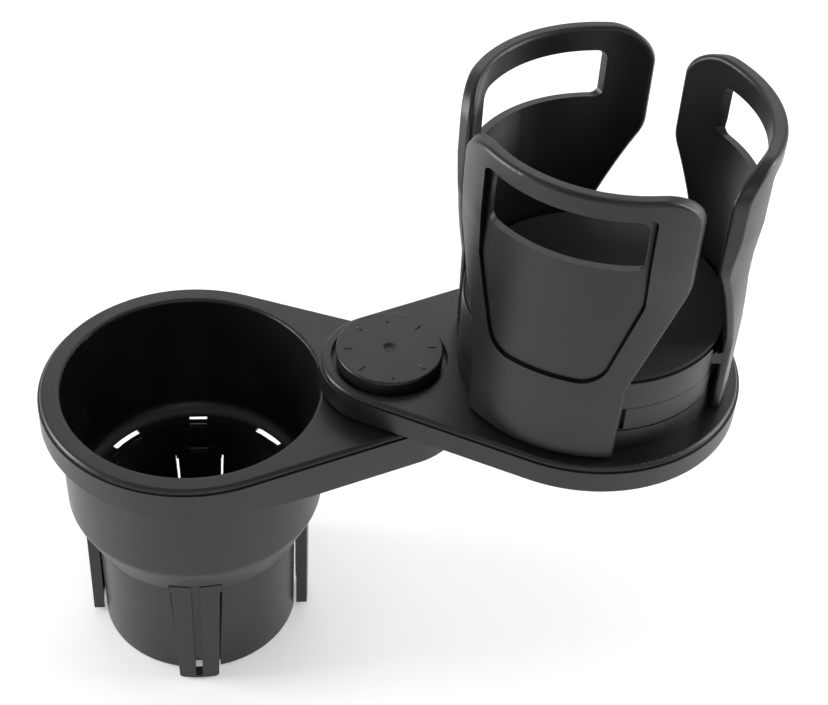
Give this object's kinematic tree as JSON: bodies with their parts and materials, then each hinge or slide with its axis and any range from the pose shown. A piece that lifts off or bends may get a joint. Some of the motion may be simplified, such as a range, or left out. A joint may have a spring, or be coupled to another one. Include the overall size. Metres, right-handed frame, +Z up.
{
  "type": "swivel cup holder",
  "caption": "Swivel cup holder that plugs into a cup well by a spigot with spring fins; a deck bowl, a turning arm and a padded pedestal held round by sliding claws.",
  "frame": {"origin": "centre of the spigot's flat bottom face, which rests on the floor of the cup well", "axes": "+Z up along the spigot, +X from the spigot towards the arm pivot; the arm rests 2.5 degrees off +X towards -Y"},
  "size_m": [0.2303, 0.1036, 0.2165],
  "materials": {
    "moulded_black": "satin black, fine grain",
    "knob_black": "satin black, matte top",
    "foam": "pebbled black foam",
    "steel": "zinc plated",
    "brass": "turned",
    "washer": "natural nylon",
    "screw_steel": "dark zinc"
  },
  "bodies": {
    "base": {"cup_shell": "moulded_black", "spigot": "moulded_black", "hub_cover": "moulded_black", "base_bush": "steel", "friction_washer": "washer", "hub_screws": "screw_steel"},
    "bolt": {"clamp_bolt": "steel"},
    "knob": {"knob": "knob_black", "knob_insert": "brass"},
    "arm": {"arm_shell": "moulded_black", "arm_cover": "moulded_black", "arm_bush": "steel", "arm_screws": "screw_steel", "pedestal_base": "moulded_black", "pedestal_cap": "moulded_black", "foam_pad": "foam", "pedestal_screws": "screw_steel", "cap_screws": "screw_steel"},
    "claw_right": {"claw_right": "moulded_black"},
    "claw_back": {"claw_back": "moulded_black"},
    "claw_front": {"claw_front": "moulded_black"},
    "fin_right": {"fin_right": "moulded_black"},
    "fin_back": {"fin_back": "moulded_black"},
    "fin_left": {"fin_left": "moulded_black"},
    "fin_front": {"fin_front": "moulded_black"}
  },
  "joints": [
    {"name": "arm_swivel", "type": "hinge", "parent": "base", "child": "arm", "pos_m": [0.0649, 0, 0.112], "axis": [0, 0, 1], "continuous": true},
    {"name": "knob_turn", "type": "hinge", "parent": "base", "child": "knob", "pos_m": [0.0649, 0, 0.118], "axis": [0, 0, 1], "range_deg": [0, 360]},
    {"name": "bolt_drop", "type": "slide", "parent": "base", "child": "bolt", "axis": [0, 0, 1], "range_m": [-0.00124, 0]},
    {"name": "claw_right_slide", "type": "slide", "parent": "arm", "child": "claw_right", "axis": [1, -0.0087, 0], "range_m": [0, 0.008]},
    {"name": "claw_back_slide", "type": "slide", "parent": "arm", "child": "claw_back", "axis": [-0.4924, 0.8704, 0], "range_m": [0, 0.008]},
    {"name": "claw_front_slide", "type": "slide", "parent": "arm", "child": "claw_front", "axis": [-0.5075, -0.8616, 0], "range_m": [0, 0.008]},
    {"name": "fin_right_flex", "type": "hinge", "parent": "base", "child": "fin_right", "pos_m": [0.0326, 0, 0.043], "axis": [0, 1, 0], "range_deg": [0, 5], "stiffness_Nm_per_rad": 1},
    {"name": "fin_back_flex", "type": "hinge", "parent": "base", "child": "fin_back", "pos_m": [0, 0.0326, 0.043], "axis": [-1, 0, 0], "range_deg": [0, 5], "stiffness_Nm_per_rad": 1},
    {"name": "fin_left_flex", "type": "hinge", "parent": "base", "child": "fin_left", "pos_m": [-0.0326, 0, 0.043], "axis": [0, -1, 0], "range_deg": [0, 5], "stiffness_Nm_per_rad": 1},
    {"name": "fin_front_flex", "type": "hinge", "parent": "base", "child": "fin_front", "pos_m": [0, -0.0326, 0.043], "axis": [1, 0, 0], "range_deg": [0, 5], "stiffness_Nm_per_rad": 1}
  ],
  "couplings": [
    {"joint": "knob_turn", "follows": "bolt_drop", "rad_per_m": -5026.5}
  ]
}
